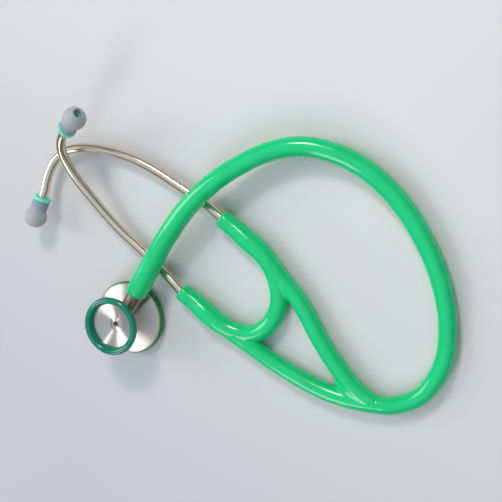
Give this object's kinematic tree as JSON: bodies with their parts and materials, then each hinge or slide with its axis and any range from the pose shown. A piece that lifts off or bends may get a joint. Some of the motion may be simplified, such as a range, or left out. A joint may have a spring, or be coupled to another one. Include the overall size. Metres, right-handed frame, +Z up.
{
  "type": "acoustic stethoscope",
  "caption": "Double-headed acoustic stethoscope: steel bell and diaphragm chestpiece that swivels on its stem, soft forked tubing with a spring web, bent steel ear tubes and soft ear tips.",
  "frame": {"origin": "on the table, under the middle of the box round everything but the free main tube", "axes": "+Z up from the table, with the diaphragm down; +X from the ear tips and chestpiece towards the tubing loop"},
  "size_m": [0.2688, 0.1768, 0.0418],
  "materials": {
    "turned_steel": "turned and polished stainless steel",
    "bright_steel": "drawn tube, bright plated",
    "spring_steel": "plain spring steel",
    "tubing_pvc": "glossy moulded soft PVC, emerald green",
    "ring_pvc": "satin soft PVC, teal green",
    "rim_pvc": "satin soft PVC, dark green",
    "diaphragm_laminate": "stiff glass-epoxy sheet",
    "insert_plastic": "glossy mint moulding",
    "tip_silicone": "matt grey silicone",
    "seal_rubber": "black rubber"
  },
  "bodies": {
    "tubing": {"stem": "turned_steel", "stem_seal": "seal_rubber", "tube_cuff": "tubing_pvc", "main_tube": "tubing_pvc", "tubing_fork": "tubing_pvc", "leaf_spring": "spring_steel"},
    "chestpiece": {"chestpiece_body": "turned_steel", "bell_ring": "ring_pvc", "diaphragm": "diaphragm_laminate", "diaphragm_rim": "rim_pvc", "detent_ball": "spring_steel", "detent_spring": "spring_steel", "detent_plug": "spring_steel"},
    "left_arm": {"left_arm": "tubing_pvc"},
    "right_arm": {"right_arm": "tubing_pvc"},
    "left_ear": {"left_ear_tube": "bright_steel", "left_tip_insert": "insert_plastic", "left_ear_tip": "tip_silicone"},
    "right_ear": {"right_ear_tube": "bright_steel", "right_tip_insert": "insert_plastic", "right_ear_tip": "tip_silicone"}
  },
  "joints": [
    {"name": "chestpiece_swivel", "type": "hinge", "parent": "tubing", "child": "chestpiece", "pos_m": [-0.04716, -0.04356, 0.0155], "axis": [0.5627, 0.8266, 0], "continuous": true},
    {"name": "left_arm_spread", "type": "hinge", "parent": "tubing", "child": "left_arm", "pos_m": [0.02684, -0.04836, 0.00575], "axis": [0, 0, 1], "range_deg": [0, 8], "stiffness_Nm_per_rad": 0.5},
    {"name": "right_arm_spread", "type": "hinge", "parent": "tubing", "child": "right_arm", "pos_m": [0.05334, -0.01206, 0.00575], "axis": [0, 0, -1], "range_deg": [0, 30], "stiffness_Nm_per_rad": 0.5},
    {"name": "left_ear_tube_turn", "type": "hinge", "parent": "left_arm", "child": "left_ear", "pos_m": [-0.01016, -0.02326, 0.00575], "axis": [-0.7945, 0.6072, 0], "range_deg": [-30, 0]},
    {"name": "right_ear_tube_turn", "type": "hinge", "parent": "right_arm", "child": "right_ear", "pos_m": [0.01934, 0.02144, 0.00575], "axis": [-0.8013, 0.5983, 0], "range_deg": [-30, 0]}
  ]
}
